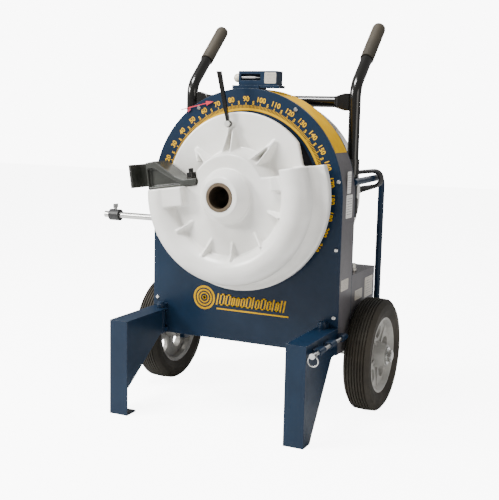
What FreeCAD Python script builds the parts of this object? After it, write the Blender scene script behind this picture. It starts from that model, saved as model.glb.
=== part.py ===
import FreeCAD, Part
import math
import os

import Sketcher
from FreeCAD import Placement, Rotation, Vector

# Electric conduit bender on a wheeled stand.
# Millimetres, +Z up, +Y from the front plate to the back, +X to the operator's right.
# The origin is on the shoe shaft's axis, at the front face of the front plate.

SIZES = [
    # stand and housing
    ("shaft_height", 604, "shaft axis above the floor"),
    ("half_width", 285, "half width of the housing and radius of its arch"),
    ("housing_bottom", 188, "housing bottom above the floor"),
    ("housing_depth", 101, "front face to rear face"),
    ("plate_thick", 4, "front and rear plate"),
    ("band_thick", 3, "rolled rim band"),
    ("band_lip", 24, "turned-in lips of the rim band"),
    ("window_radius", 217, "round opening in the front plate"),
    ("bearing_plate_front", 14, "front face of the inner bearing plate"),
    ("bearing_plate_thick", 8, "inner bearing plate"),
    ("screw_radius", 3, "housing screws"),
    ("screw_head", 5.5, "radius of their heads"),
    ("scale_radius", 226, "inner edge of the degree scale's arc"),
    ("scale_band", 6, "radial width of that arc"),
    ("foil", 0.8, "thickness of scale and strip"),
    # shaft and drive
    ("shaft_radius", 37.5, "hollow main shaft, outside"),
    ("shaft_bore", 29.5, "hollow main shaft, inside"),
    ("shaft_nose", 150, "front overhang of the shaft"),
    ("shaft_tail", 151, "rear end of the shaft, behind the housing"),
    ("running_gap", 0.05, "radial gap of shafts, pins and rods that turn or slide"),
    ("side_gap", 0.3, "gap between faces that move past each other"),
    ("gear_module", 5, "gear tooth module"),
    ("drive_teeth", 72, "teeth of the drive gear"),
    ("idler_teeth", 26, "teeth of the idler gear"),
    ("pinion_teeth", 14, "teeth of the motor pinion"),
    ("gear_front", 48, "front face of the gears"),
    ("gear_width", 24, "face width of the gears"),
    ("tooth_backlash", 0.5, "play at the pitch circle"),
    ("idler_pin_radius", 12, "idler pin"),
    ("pinion_shaft_radius", 14, "pinion shaft"),
    # front shoe
    ("rest_turn", 8.4, "degrees the shoe stands short of upright"),
    ("flange_rear", 18, "rear face of the shoe, in front of the plate"),
    ("flange_thick", 14, "rear flange"),
    ("flange_radius", 262, "rear flange below the parting"),
    ("upper_radius", 221.5, "rear flange above the parting"),
    ("ring_rear", 42, "groove's rear edge, in front of the plate"),
    ("roll_radius", 40, "radius of the front roll"),
    ("roll_front", 100, "middle of the front roll, in front of the plate"),
    ("groove_radius", 26, "conduit groove"),
    ("groove_centre", 252, "radius to the conduit's axis"),
    ("parting", 39, "end faces above the shaft axis"),
    ("web_front", 105, "front of the shoe's web"),
    ("web_thick", 12, "shoe's web"),
    ("web_radius", 111, "web above the parting"),
    ("hub_radius", 52, "nose of the hub"),
    ("hub_front", 149, "front of the hub"),
    # hook and pointer
    ("hook_radius", 24, "hook's half-round mouth"),
    ("hook_centre", 259, "shaft axis to the middle of the mouth"),
    ("hook_length", 65, "mouth along the conduit"),
    ("hook_wall", 8, "lip of the hook"),
    ("hook_bolt_radius", 7, "hook bolt"),
    ("pointer_pivot", 191, "shaft axis to the pointer's bolt"),
    ("pointer_length", 140, "bolt to the pointer's tip"),
    ("pointer_bolt_radius", 4, "pointer bolt"),
    ("pointer_lean", 4.2, "degrees the pointer leans from the shoe's upright"),
    # stand
    ("leg_reach", 224, "leg front, in front of the plate"),
    ("leg_height", 262, "top of the legs above the floor"),
    ("leg_width", 55, "inner to outer face of the legs"),
    ("leg_proud", 1, "legs' outer face beyond the housing's side"),
    ("leg_thick", 4, "leg plate"),
    ("hinge_inset", 36, "leg hinge pins in from the housing's side"),
    ("hinge_y", 20, "leg hinge pins, in front of the plate"),
    ("hinge_pin_radius", 8, "leg hinge pins"),
    ("hinge_low", 204, "bottom of the hinge barrels above the floor"),
    ("latch_reach", 17, "latch bolt out from the housing's side"),
    ("latch_height", 240, "latch bolt above the floor"),
    ("latch_radius", 5.3, "latch bolt"),
    ("latch_barrel", 8.5, "radius of the latch barrels"),
    ("ring_radius", 13.5, "pull ring, to the wire's middle"),
    ("ring_wire", 1.7, "radius of the ring's wire"),
    # wheels
    ("wheel_radius", 159, "tyre, outside"),
    ("wheel_y", 175.5, "axle behind the plate's face"),
    ("tyre_gap", 7, "tyres' inner side beyond the housing's side"),
    ("tyre_width", 75, "tyre width"),
    ("rim_radius", 106, "rim"),
    ("axle_radius", 12.5, "axle"),
    ("hub_bore", 17, "rim bore round the bushes"),
    # rear
    ("case_rear", 300, "rear of the motor case and control box"),
    ("case_top", 285, "motor case top, below the shaft axis"),
    ("box_top", 214, "control box top, below the shaft axis"),
    ("box_width", 116.5, "control box, inner to outer side"),
    ("sheet_thick", 4, "walls of case and box"),
    ("rear_shoe_radius", 265, "largest radius of the rear shoe"),
    ("rear_shoe_small", 226, "smaller flange of the rear shoe"),
    ("rear_shoe_gap", 19, "rear shoe behind the housing"),
    ("rear_shoe_width", 86, "rear shoe's front face to the rear of its ring"),
    ("handle_radius", 15.9, "handle tube"),
    ("handle_inset", 31, "handles in from the housing's side"),
    ("handle_y", 158, "handles behind the plate's face"),
    ("handle_bend", 296, "corner of the handles above the shaft axis"),
    ("handle_top", 470, "handle ends above the shaft axis"),
    ("handle_back", 345, "handle ends behind the plate's face"),
    ("grip_radius", 19, "grips"),
    ("grip_length", 138, "grips"),
    ("crossbar_z", 255, "crossbar above the shaft axis"),
    ("crossbar_radius", 15.5, "crossbar"),
    ("rack_radius", 9.5, "rack tube"),
    ("rack_inset", 5, "rack tubes in from the housing's side"),
    ("rack_z", 40, "rack tubes above the shaft axis"),
    ("rack_back", 350, "rack tubes behind the plate's face"),
    # stop rod and level
    ("rod_radius", 9.25, "stop rod"),
    ("rod_z", 92, "stop rod below the shaft axis"),
    ("rod_y", 50, "stop rod behind the plate's face"),
    ("rod_end", 488, "free end of the stop rod"),
    ("collar_x", 452, "middle of the stop collar"),
    ("collar_width", 33, "stop collar"),
    ("collar_radius", 17, "stop collar"),
    ("cord_radius", 6, "supply cord"),
]

doc = FreeCAD.newDocument("conduit_bender")
sheet = doc.addObject("Spreadsheet::Sheet", "sizes")
for row, (alias, number, note) in enumerate(SIZES, 1):
    sheet.set(f"A{row}", alias)
    sheet.set(f"B{row}", str(number))
    sheet.set(f"C{row}", note)
    sheet.setAlias(f"B{row}", alias)
doc.recompute()

X, Y, Z = Vector(1, 0, 0), Vector(0, 1, 0), Vector(0, 0, 1)
TOWARDS = {"x": Rotation(Y, 90), "y": Rotation(X, -90), "z": Rotation()}
nodes = {}


class Dim:
    """A length that carries its value and its spreadsheet formula."""

    def __init__(self, value, text):
        self.value, self.text = value, text

    def __add__(self, other):
        return Dim(self.value + dim(other).value, f"({self.text} + {dim(other).text})")

    def __sub__(self, other):
        return Dim(self.value - dim(other).value, f"({self.text} - {dim(other).text})")

    def __mul__(self, other):
        return Dim(self.value * dim(other).value, f"({self.text} * {dim(other).text})")

    def __truediv__(self, other):
        return Dim(self.value / dim(other).value, f"({self.text} / {dim(other).text})")

    def __neg__(self):
        return self * -1

    __radd__ = __add__
    __rmul__ = __mul__

    def __rsub__(self, other):
        return dim(other) - self


def dim(number):
    return number if isinstance(number, Dim) else Dim(float(number), f"({float(number)})")


class Sizes:
    """Reads the sheet: s.half_width is the cell named half_width."""

    def __getattr__(self, alias):
        return Dim(float(sheet.get(alias)), "sizes." + alias)


s = Sizes()
floor = -s.shaft_height
bottom = s.housing_bottom - s.shaft_height
depth = s.housing_depth
plate = s.plate_thick
crown = s.half_width
leg_outer = s.half_width + s.leg_proud
leg_inner = leg_outer - s.leg_width
hinge_x = s.half_width - s.hinge_inset
latch_x = s.half_width + s.latch_reach
tyre_inner = s.half_width + s.tyre_gap
handle_x = s.half_width - s.handle_inset
rack_x = s.half_width - s.rack_inset
box_inner = s.half_width - s.box_width
tail_end = depth + s.shaft_tail
rear_shoe_front = depth + s.rear_shoe_gap


# ---- ways of making a piece ----

def bind(obj, prop, size):
    obj.setExpression(prop, dim(size).text)


def keep(name, obj, turn=None):
    """Names a finished sub-part; turn is its rotation about the origin."""
    obj.Label = name
    if turn is not None:
        obj.Placement = Placement(Vector(), turn)
    nodes[name] = obj


def box(x, y, z):
    """Block between the low and high size of each axis."""
    block = doc.addObject("Part::Box", "block")
    for prop, axis, (low, high) in zip(("Length", "Width", "Height"), "xyz", (x, y, z)):
        bind(block, prop, dim(high) - low)
        bind(block, "Placement.Base." + axis, low)
    return block


def rod(axis, radius, at, low, high, angle=360):
    """Cylinder along an axis from low to high; at holds its place on the two other axes."""
    cylinder = doc.addObject("Part::Cylinder", "round")
    cylinder.Placement = Placement(Vector(), TOWARDS[axis])
    bind(cylinder, "Radius", radius)
    bind(cylinder, "Height", dim(high) - low)
    cylinder.Angle = angle
    place = dict(zip([letter for letter in "xyz" if letter != axis], at))
    place[axis] = low
    for letter, size in place.items():
        bind(cylinder, "Placement.Base." + letter, size)
    return cylinder


def cone(axis, radius_low, radius_high, at, low, high):
    taper = doc.addObject("Part::Cone", "taper")
    taper.Placement = Placement(Vector(), TOWARDS[axis])
    bind(taper, "Radius1", radius_low)
    bind(taper, "Radius2", radius_high)
    bind(taper, "Height", dim(high) - low)
    place = dict(zip([letter for letter in "xyz" if letter != axis], at))
    place[axis] = low
    for letter, size in place.items():
        bind(taper, "Placement.Base." + letter, size)
    return taper


def ring(axis, radius, wire, at):
    torus = doc.addObject("Part::Torus", "ring")
    torus.Placement = Placement(Vector(), TOWARDS[axis])
    bind(torus, "Radius1", radius)
    bind(torus, "Radius2", wire)
    for letter, size in zip("xyz", at):
        bind(torus, "Placement.Base." + letter, size)
    return torus


def fuse(*pieces):
    if len(pieces) == 1:
        return pieces[0]
    union = doc.addObject("Part::MultiFuse", "union")
    union.Shapes = list(pieces)
    union.Refine = True
    return union


def group(*pieces):
    """Separate like pieces that share one node."""
    return fuse(*pieces)


def cut(base, *tools):
    difference = doc.addObject("Part::Cut", "difference")
    difference.Base = base
    difference.Tool = fuse(*tools)
    difference.Refine = True
    return difference


def common(*pieces):
    overlap = doc.addObject("Part::MultiCommon", "overlap")
    overlap.Shapes = list(pieces)
    return overlap


def tube(axis, radius, bore, at, low, high):
    return cut(rod(axis, radius, at, low, high), rod(axis, bore, at, dim(low) - 1, dim(high) + 1))


def arch(inset, low, high):
    """Housing outline, half round above the shaft axis, drawn in by inset."""
    half = s.half_width - inset
    return fuse(rod("y", half, (0, 0), low, high), box((-half, half), (low, high), (bottom + inset, 0)))


def pin_point(sketch, curve, point, x, y):
    """Ties a sketch point to its two sizes."""
    for kind, axis, size in (("DistanceX", -2, dim(x)), ("DistanceY", -1, dim(y))):
        if abs(size.value) < 1e-9:
            sketch.addConstraint(Sketcher.Constraint("PointOnObject", curve, point, axis))
            continue
        ends = (-1, 1, curve, point) if size.value > 0 else (curve, point, -1, 1)
        size = size if size.value > 0 else -size
        index = sketch.addConstraint(Sketcher.Constraint(kind, *ends, size.value))
        bind(sketch, f"Constraints[{index}]", size)


def outline(body, plane, corners):
    """Closed sketch on one of the body's own origin planes; a third item in a corner is the
    radius of an arc to the next corner, positive when it turns left."""
    sketch = body.newObject("Sketcher::SketchObject", body.Name + "_sketch")
    support = [item for item in body.Origin.OriginFeatures if item.Role == plane][0]
    sketch.AttachmentSupport = [(support, "")]
    sketch.MapMode = "FlatFace"
    arcs = {i: dim(corner[2]) for i, corner in enumerate(corners) if len(corner) > 2}
    corners = [(dim(corner[0]), dim(corner[1])) for corner in corners]
    points = [Vector(x.value, y.value, 0) for x, y in corners]
    count = len(points)
    lines = [Part.LineSegment(points[i], points[(i + 1) % count]) for i in range(count)]
    for i in arcs:
        lines[i] = arc_between(points[i], points[(i + 1) % count], arcs[i].value)
    sketch.addGeometry(lines, False)
    first = {i: 2 if i in arcs and arcs[i].value < 0 else 1 for i in range(count)}
    for i in range(count):
        after = (i + 1) % count
        sketch.addConstraint(Sketcher.Constraint("Coincident", i, 3 - first[i], after, first[after]))
    for i, (x, y) in enumerate(corners):
        pin_point(sketch, i, first[i], x, y)
    for i, radius in arcs.items():
        size = radius if radius.value > 0 else -radius
        index = sketch.addConstraint(Sketcher.Constraint("Radius", i, size.value))
        bind(sketch, f"Constraints[{index}]", size)
    return sketch


def arc_between(start, end, radius):
    """Short arc; a positive radius turns left from start to end, a negative one right."""
    chord = end - start
    side = Vector(-chord.y, chord.x, 0).normalize() * (1 if radius > 0 else -1)
    centre = (start + end) / 2 + side * math.sqrt(max(radius ** 2 - (chord.Length / 2) ** 2, 0))
    away = ((start + end) / 2 - centre)
    away = (away if away.Length > 1e-6 else -side).normalize()
    crown = centre + away * abs(radius)
    return Part.Arc(start, crown, end)


def lathe(axis, profile):
    """Body turned about an axis through its own origin; profile lists (radius, along)."""
    body = doc.addObject("PartDesign::Body", "turned")
    if axis == "x":
        sketch = outline(body, "XY_Plane", [(corner[1], corner[0]) for corner in profile])
    else:
        sketch = outline(body, "XY_Plane" if axis == "y" else "XZ_Plane", profile)
    turned = body.newObject("PartDesign::Revolution", body.Name + "_revolution")
    turned.Profile = sketch
    turned.ReferenceAxis = (sketch, ["H_Axis" if axis == "x" else "V_Axis"])
    turned.Angle = 360
    return body


def slab(plane, corners, low, high):
    """Body padded from a straight-sided outline; plane is XY, XZ or YZ."""
    body = doc.addObject("PartDesign::Body", "slab")
    sketch = outline(body, plane + "_Plane", corners)
    away = -1 if plane == "XZ" else 1
    bind(sketch, "AttachmentOffset.Base.z", dim(low) * away)
    pad = body.newObject("PartDesign::Pad", body.Name + "_pad")
    pad.Profile = sketch
    pad.Reversed = plane == "XZ"
    bind(pad, "Length", dim(high) - low)
    return body


def move(obj, x=0, y=0, z=0):
    for letter, size in zip("xyz", (x, y, z)):
        bind(obj, "Placement.Base." + letter, size)
    return obj


def feature(shape, placement=None):
    """Shape made by Part's own functions, with its Placement set after it."""
    made = doc.addObject("Part::Feature", "shape")
    made.Shape = shape
    if placement is not None:
        made.Placement = placement
    return made


def bent_wire(points, bend):
    """Straight runs joined by tangent arcs; bend gives each arc's radius from its corner."""
    edges, start = [], points[0]
    for before, corner, after in zip(points, points[1:], points[2:]):
        u, v = (before - corner), (after - corner)
        radius = bend(u.Length, v.Length, u.getAngle(v) / 2)
        half = u.getAngle(v) / 2
        u.normalize()
        v.normalize()
        middle = (u + v).normalize()
        first, last = corner + u * (radius / math.tan(half)), corner + v * (radius / math.tan(half))
        crown = corner + middle * (radius / math.sin(half) - radius)
        edges += [Part.LineSegment(start, first).toShape(), Part.Arc(first, crown, last).toShape()]
        start = last
    edges.append(Part.LineSegment(start, points[-1]).toShape())
    return Part.Wire(edges)


def pipe(points, radius, bend):
    """Round bar swept along a bent wire."""
    path = bent_wire(points, bend)
    section = Part.Wire(Part.makeCircle(radius, points[0], points[1] - points[0]))
    return path.makePipeShell([section], True, True)


def sides(side, low, high):
    """X range on the right for side 1, mirrored to the left for side -1."""
    return (dim(low), dim(high)) if side > 0 else (-dim(high), -dim(low))


SIDES = (("left", -1), ("right", 1))
upright = Rotation(Vector(0, -1, 0), s.rest_turn.value)


# ---- housing: front and rear plates on a rolled rim band ----

def screw_spots(*heights):
    """Down both sides at the given heights, and two beside the crown of the arch."""
    line = s.half_width - 13
    spots = [(line * side, height) for side in (-1, 1) for height in heights]
    return spots + [(line * side * 0.533, line * 0.846) for side in (-1, 1)]


front_spots = screw_spots(dim(46), bottom * 0.322, bottom + 100)
rear_spots = screw_spots(dim(0), bottom * 0.322, bottom + 100)


def screw_bores(spots):
    return [rod("y", s.screw_radius + s.running_gap, at, -1, depth + 1) for at in spots]


def housing():
    front, rear = depth - plate, depth
    keep("front_plate", cut(arch(0, 0, plate), rod("y", s.window_radius, (0, 0), -1, plate + 1),
                            *screw_bores(front_spots)))
    cavity = arch(s.band_thick, plate + s.band_thick, depth - plate - s.band_thick)
    opening = arch(s.band_lip, 0, depth)
    rod_hole = rod("x", s.rod_radius + 5.75, (s.rod_y, -s.rod_z), -s.half_width - 5, 5 - s.half_width)
    keep("rim_band", cut(arch(0, plate, depth - plate), cavity, opening, rod_hole, *screw_bores(front_spots),
                         *screw_bores(rear_spots)))
    keep("rear_plate", cut(arch(0, front, rear), rod("y", 60, (0, 0), 0, depth + 1),
                           rod("y", 30, (0, pinion_z()), 0, depth + 1), *screw_bores(rear_spots)))
    screws = []
    for at in front_spots:
        screws += [rod("y", s.screw_radius, at, -2, plate + s.band_thick + 5),
                   cone("y", s.screw_head - 1.5, s.screw_head, at, -3, -1), rod("y", s.screw_head, at, -1, 0)]
    for at in rear_spots:
        screws += [rod("y", s.screw_radius, at, front - 8, rear + 2),
                   cone("y", s.screw_head, s.screw_head - 1.5, at, rear + 1, rear + 3),
                   rod("y", s.screw_head, at, rear, rear + 1)]
    keep("plate_screws", group(*screws))
    front = s.bearing_plate_front
    keep("bearing_plate", cut(arch(s.band_thick, front, front + s.bearing_plate_thick),
                              rod("y", 60, (0, 0), front - 1, front + s.bearing_plate_thick + 1),
                              rod("y", s.idler_pin_radius, (0, idler_z()), 0, depth),
                              rod("y", s.pinion_shaft_radius + s.running_gap, (0, pinion_z()), 0, depth)))


def idler_z():
    return -(s.drive_teeth + s.idler_teeth) * s.gear_module / 2


def pinion_z():
    return idler_z() - (s.idler_teeth + s.pinion_teeth) * s.gear_module / 2


def printed_band(inner, thick, low, high, sweep, start):
    """Yellow foil round the shaft axis over an angle."""
    band = cut(rod("y", inner + thick, (0, 0), low, high, angle=sweep),
               rod("y", inner, (0, 0), dim(low) - 1, dim(high) + 1))
    band.Placement = Placement(Vector(), Rotation(Y, start))
    return band


def dial():
    keep("degree_scale", group(printed_band(s.scale_radius, s.scale_band, -s.foil, 0, 216, -183),
                               printed_band(s.half_width + 0.05, s.foil, 8, depth - 9, 53, -78)))


# ---- hollow main shaft in two flanged bearings, with the gear train ----

def bearing(flange, barrel):
    """Flanged bearing housing: the y ranges of its flange and of its barrel."""
    return cut(fuse(rod("y", 60, (0, 0), *barrel), rod("y", 80, (0, 0), *flange)),
               rod("y", s.shaft_radius + s.running_gap, (0, 0), 0, depth + 20))


def gear_shape(teeth, bore, phase):
    """Involute spur gear about Y, one tooth centred at the angle phase from +X towards +Z."""
    module, width = s.gear_module.value, s.gear_width.value
    pitch, pressure = module * teeth / 2, math.radians(20)
    base, tip, root = pitch * math.cos(pressure), pitch + 0.92 * module, pitch - 1.25 * module
    half_tooth = math.pi / (2 * teeth) - s.tooth_backlash.value / (4 * pitch)
    involute = math.tan(pressure) - pressure

    def half_angle(radius):
        roll = math.acos(min(1.0, base / radius))
        return half_tooth + involute - (math.tan(roll) - roll)

    start = max(base, root)
    radii = [start + (tip - start) * step / 4 for step in range(5)]
    points = []
    for tooth in range(teeth):
        middle = phase + 2 * math.pi * tooth / teeth
        flank = [(radius, half_angle(radius)) for radius in radii]
        side = [(root, half_angle(start))] + flank
        for radius, angle in [(r, -a) for r, a in side] + list(reversed(side)):
            points.append(Vector(radius * math.cos(middle + angle), 0, radius * math.sin(middle + angle)))
    face = Part.Face([Part.makePolygon(points + points[:1])])
    return face.extrude(Vector(0, width, 0)).cut(Part.makeCylinder(bore, width + 2, Vector(0, -1, 0), Y))


def drive():
    keep("main_shaft", cut(tube("y", s.shaft_radius, s.shaft_bore, (0, 0), -s.shaft_nose, tail_end),
                           *key_blocks()))
    keep("drive_keys", group(*key_blocks()))
    front, back = s.bearing_plate_front, s.bearing_plate_front + s.bearing_plate_thick
    keep("shaft_bearings", group(bearing((back, back + 8), (front, 44)),
                                 bearing((depth, depth + 8), (76, depth))))
    gear_at = Placement(Vector(0, s.gear_front.value, 0), Rotation())
    tooth = math.radians(-90)
    wheel = feature(gear_shape(int(s.drive_teeth.value), s.shaft_radius.value, tooth), gear_at)
    keep("drive_gear", cut(wheel, *[rod("y", 24, at, 0, depth) for at in lightening_holes()], *key_blocks()))
    gear_at = Placement(Vector(0, s.gear_front.value, idler_z().value), Rotation())
    space = math.radians(90) + math.pi / s.idler_teeth.value
    idler = gear_shape(int(s.idler_teeth.value), (s.idler_pin_radius + s.running_gap).value, space)
    keep("idler_gear", feature(idler, gear_at))
    pin, end = s.idler_pin_radius, s.gear_front + s.gear_width
    keep("idler_pin", fuse(rod("y", pin, (0, idler_z()), front - 3, end + 4),
                           rod("y", pin + 5, (0, idler_z()), back, s.gear_front - s.side_gap),
                           rod("y", pin + 6, (0, idler_z()), end + s.side_gap, end + 3)))
    gear_at = Placement(Vector(0, s.gear_front.value, pinion_z().value), Rotation())
    pinion = gear_shape(int(s.pinion_teeth.value), s.pinion_shaft_radius.value, math.radians(90))
    keep("pinion", fuse(feature(pinion, gear_at),
                        rod("y", s.pinion_shaft_radius, (0, pinion_z()), front - 2, depth + 37)))
    spacers = [(52, -s.flange_rear, front - s.side_gap), (52, depth + 8 + s.side_gap, rear_shoe_front),
               (50, tail_end - 14, tail_end - 2)]
    keep("shaft_spacers", group(*[tube("y", radius, s.shaft_radius, (0, 0), low, high)
                                  for radius, low, high in spacers]))


def key_blocks():
    """Parallel keys: shoe to shaft, gear to shaft, rear shoe to shaft."""
    runs = [(-130, -30), (s.gear_front, s.gear_front + s.gear_width),
            (rear_shoe_front + 10, rear_shoe_front + 80)]
    return [box((-5, 5), run, (s.shaft_radius - 4, s.shaft_radius + 4)) for run in runs]


def lightening_holes():
    angles = [math.radians(60 * step + 30) for step in range(6)]
    return [(110 * math.cos(angle), 110 * math.sin(angle)) for angle in angles]


# ---- front shoe: one casting, drawn upright and then set to its rest angle ----

def gusset(angle, inner, outer, foot_y, crest_inner, crest_outer, foot_half, crest_half, lean=(0, 0)):
    """Tapered cast rib, standing off the web, made radial along +Z and turned to its angle.
    Lean sets its inner and outer end aside, so that a pair can run together."""
    def rung(radius, crest, aside):
        corners = [(-foot_half, foot_y), (foot_half, foot_y), (crest_half, crest), (-crest_half, crest)]
        return Part.makePolygon([Vector(x + aside, y, radius) for x, y in corners + corners[:1]])
    rib = Part.makeLoft([rung(inner, crest_inner, lean[0]), rung(outer, crest_outer, lean[1])], True, True)
    return feature(rib, Placement(Vector(), Rotation(Y, angle)))


def front_shoe():
    rear, roll, groove = -s.flange_rear, s.roll_radius, s.groove_radius
    land = s.groove_centre - groove / 2
    middle = -s.ring_rear - groove
    inner = land - roll * 2
    web = -s.web_front
    ring_part = lathe("y", [(inner, -s.roll_front, roll), (inner + roll, -s.roll_front - roll, roll),
                            (land, -s.roll_front), (land, middle - groove * 0.8660254, -groove),
                            (s.groove_centre - groove, middle, -groove), (s.groove_centre, -s.ring_rear),
                            (s.flange_radius, -s.ring_rear), (s.flange_radius, rear), (inner - 20, rear),
                            (inner - 20, rear - s.flange_thick), (inner, rear - s.flange_thick),
                            (inner, web + s.web_thick), (100, web + s.web_thick), (100, web), (inner, web)])
    shoulder = box((168, 400), (-300, 0), (-400, s.parting + 16))
    below = fuse(box((-400, 400), (-300, 0), (-400, s.parting)), shoulder)
    face = rear - s.flange_thick
    hub = lathe("y", [(s.shaft_radius, -s.hub_front), (s.hub_radius, -s.hub_front),
                      (s.hub_radius + 3, 4 - s.hub_front), (72, web - 15), (72, web), (s.web_radius, web),
                      (s.web_radius + 15, face), (s.upper_radius, face), (s.upper_radius, rear),
                      (s.shaft_radius, rear)])
    upper = cut(hub, slab("XZ", [(193, s.parting + 17), (300, s.parting + 17), (300, 300), (157, 300),
                                 (184, 157)], -60, 0))
    pad = box((-215, -120), (-s.roll_front - roll + 4, -s.ring_rear - 6), (-12, s.parting))
    seat = box((-300, -82.6), (-112, -36), (s.parting, 100))
    stop = box((134, 172), (web - 14, web + 4), (2, s.parting))
    wall = box((-172, 172), (web + 2, face + 2), (s.parting - 10, s.parting))
    ribs = [gusset(angle, 100, outer, -30, -99, crest, 6, 1.8, (14 * side, tip * side))
            for angle, outer, crest, tip in ((-40, 178, -43, 1), (1, 178, -44.5, 6), (44, 181, -43, 1))
            for side in (-1, 1)]
    ribs += [gusset(angle, (inner - 37).value, (inner + 9).value, -100, -106, -135, 8, 2)
             for angle in (242, 208, 179, 146, 114)]
    boss = rod("y", 11, (0, s.pointer_pivot), -44, rear - 2)
    keep("front_shoe", cut(fuse(upper, common(ring_part, below), pad, stop, wall, boss, *ribs), seat,
                           rod("y", s.shaft_radius, (0, 0), -s.hub_front - 1, 0),
                           rod("z", s.hook_bolt_radius, (hook_bolt_x(), hook_bolt_y()), -4, 100),
                           rod("y", s.pointer_bolt_radius, (0, s.pointer_pivot), -60, -24),
                           turned_back(key_blocks()[0])), upright)


def turned_back(block):
    """Keys stay upright while the shoe is turned, so their cut is turned the other way first."""
    holder = fuse(block, box((-4, 4), (-120, -60), (s.shaft_radius - 3, s.shaft_radius + 3)))
    holder.Placement = Placement(Vector(), upright.inverted())
    return holder


def hook_bolt_x():
    return -(s.hook_centre - 146)


def hook_bolt_y():
    return dim(-78)


# ---- hook, its bolt and the pointer, drawn upright with the shoe ----

def hook():
    base = s.parting
    mouth_low, mouth_high = base + 9, base + 9 + s.hook_length
    left, right = -s.hook_centre - s.hook_radius - s.hook_wall, -s.hook_centre + s.hook_radius
    front, back = -68 - s.hook_radius - 18, -68 + s.hook_radius + 6
    mouth = cut(box((left, right + 4), (front, back), (mouth_low, mouth_high)),
                rod("z", s.hook_radius, (-s.hook_centre, -68), 0, 200),
                box((-s.hook_centre - s.hook_radius, right), (front - 1, -68), (0, 200)))
    profile = [(right, base), (-88, base), (-83, base + 18), (-128, base + 18), (-150, base + 30),
               (-205, base + 76), (right, mouth_high)]
    pocket = [(right + 1, base + 7), (-128, base + 7), (-158, base + 22), (-210, base + 58),
              (right + 1, base + 58)]
    arm = cut(slab("XZ", profile, front, back), slab("XZ", pocket, front - 1, front + 12),
              rod("z", s.hook_bolt_radius, (hook_bolt_x(), hook_bolt_y()), base - 1, 200))
    keep("hook", fuse(mouth, arm), upright)
    at = (hook_bolt_x(), hook_bolt_y())
    seat = base + 18
    head = slab("XY", hexagon(at, 12.5), seat + 3, seat + 17)
    bolt = fuse(rod("z", s.hook_bolt_radius, at, 0, seat + 3), head, rod("z", 6.5, at, seat + 17, seat + 28))
    washer = tube("z", 14, s.hook_bolt_radius, at, seat, seat + 2.9)
    pivot = (dim(0), s.pointer_pivot)
    pointer_bolt = fuse(rod("y", s.pointer_bolt_radius, pivot, -53, -24),
                        slab("XZ", hexagon(pivot, 7.5), -58, -52.3))
    keep("shoe_bolts", group(bolt, washer, pointer_bolt), upright)


def hexagon(at, apothem):
    corners = []
    for step in range(6):
        angle = math.radians(60 * step)
        reach = apothem / math.cos(math.radians(30))
        corners.append((at[0] + reach * math.cos(angle), at[1] + reach * math.sin(angle)))
    return corners


def pointer():
    pivot, eye = s.pointer_pivot, 9.5
    low, high = -52, -44.3
    arm = slab("XZ", [(-4, 6), (4, 6), (6.5, s.pointer_length), (-6, s.pointer_length + 3)], low, high)
    lever = cut(fuse(arm, rod("y", eye, (0, 0), low, high)),
                rod("y", s.pointer_bolt_radius + s.running_gap, (0, 0), low - 1, high + 1))
    keep("pointer", lever)
    at = upright.multVec(Vector(0, 0, pivot.value))
    lever.Placement = Placement(at, Rotation(Vector(0, -1, 0), s.rest_turn.value + s.pointer_lean.value))


def target_marker():
    """Red needle on a clip that rides round the rim."""
    rim = s.half_width + 0.4
    face = -3.6
    clip = fuse(box((-6, 6), (face, 16), (rim, rim + 1.4)), box((-6, 6), (face, -1), (rim - 5, rim + 1.4)))
    clip.Placement = Placement(Vector(), Rotation(Y, -38))
    start, tip = Vector(-198, 0, 224), Vector(-97, 0, 248)
    along = (tip - start).normalize()
    across = Vector(-along.z, 0, along.x)
    neck = tip - along * 23
    corners = [start + across * 1.2, neck + across * 1.2, neck + across * 6.5, tip,
               neck - across * 6.5, neck - across * 1.2, start - across * 1.2]
    needle = [(s.half_width * (point.x / 285), s.half_width * (point.z / 285)) for point in corners]
    keep("target_marker", fuse(clip, slab("XZ", needle, face - 1.8, face + 0.2)))


# ---- level on top of the arch ----

def level():
    deck = crown + 8
    saddle = cut(box((-45, 35), (4, 52), (crown - 45, deck)), box((-60, 60), (-1, depth), (0, crown - 23)),
                 rod("y", s.half_width + 0.05, (0, 0), -1, depth))
    keep("level_bracket", group(saddle, box((35.2, 92), (6, 48), (deck - 7, deck))))
    middle = crown + 29
    keep("level_body", cut(box((-28, 85), (8, 46), (deck, deck + 38)),
                           box((-22, 37), (7, 24), (deck + 13, deck + 30)),
                           rod("x", 7, (28, middle), -40, -20)))
    keep("level_pin", fuse(rod("x", 7, (28, middle), -28, -21), rod("x", 4, (15.5, middle), -21.8, 15),
                           cone("x", 4, 0.8, (15.5, middle), 15, 33),
                           rod("x", 3.2, (21, middle), -21.8, -20)))
    profile = [(0, -50), (7, -49), (11, -45), (12.5, -38), (12.5, -28), (0, -28)]
    keep("level_knob", cut(lathe_at("x", profile, (0, 28, middle - 1)),
                           box((-60, -20), (0, 80), (0, crown + 5))))


def lathe_at(axis, profile, at):
    return move(lathe(axis, profile), *at)


# ---- folding legs, with their hinge pins and spring latches ----

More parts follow.
